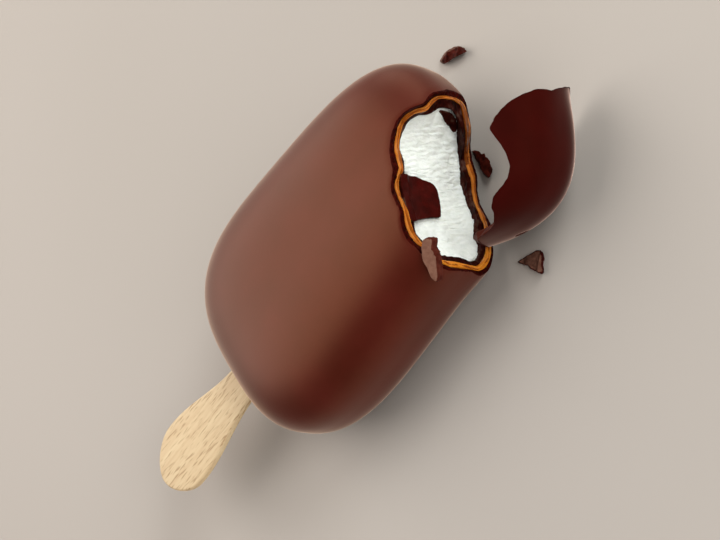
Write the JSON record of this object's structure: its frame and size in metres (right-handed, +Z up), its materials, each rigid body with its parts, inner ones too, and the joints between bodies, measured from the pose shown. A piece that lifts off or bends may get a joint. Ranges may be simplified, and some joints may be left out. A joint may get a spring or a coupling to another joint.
{
  "type": "ice cream bar",
  "caption": "Chocolate-coated ice cream bar on a wooden stick, lying on its back, broken open at one corner to show caramel, inner chocolate and ice cream.",
  "frame": {"origin": "the middle of the bounding box's bottom, on the surface that the bar lies on", "axes": "+X along the bar from the stick to the tip, +Z up out of the front face, +Y across; the break opens the corner towards +X and -Y"},
  "size_m": [0.1452, 0.0652, 0.0314],
  "materials": {
    "milk_chocolate": "satin milk chocolate",
    "dark_chocolate": "satin dark chocolate",
    "caramel": "glossy, slightly translucent caramel",
    "ice_cream": "matt, softly translucent, finely ridged",
    "wood": "bare pale beech"
  },
  "bodies": {
    "root": {"chocolate_shell": "milk_chocolate", "caramel_layer": "caramel", "inner_chocolate": "dark_chocolate", "ice_cream": "ice_cream", "flake_on_ice_cream": "dark_chocolate", "wooden_stick": "wood", "shell_corner": "milk_chocolate", "shell_chip_1": "milk_chocolate", "shell_chip_2": "milk_chocolate", "shell_chip_3": "milk_chocolate", "shell_chip_4": "milk_chocolate"}
  },
  "joints": []
}
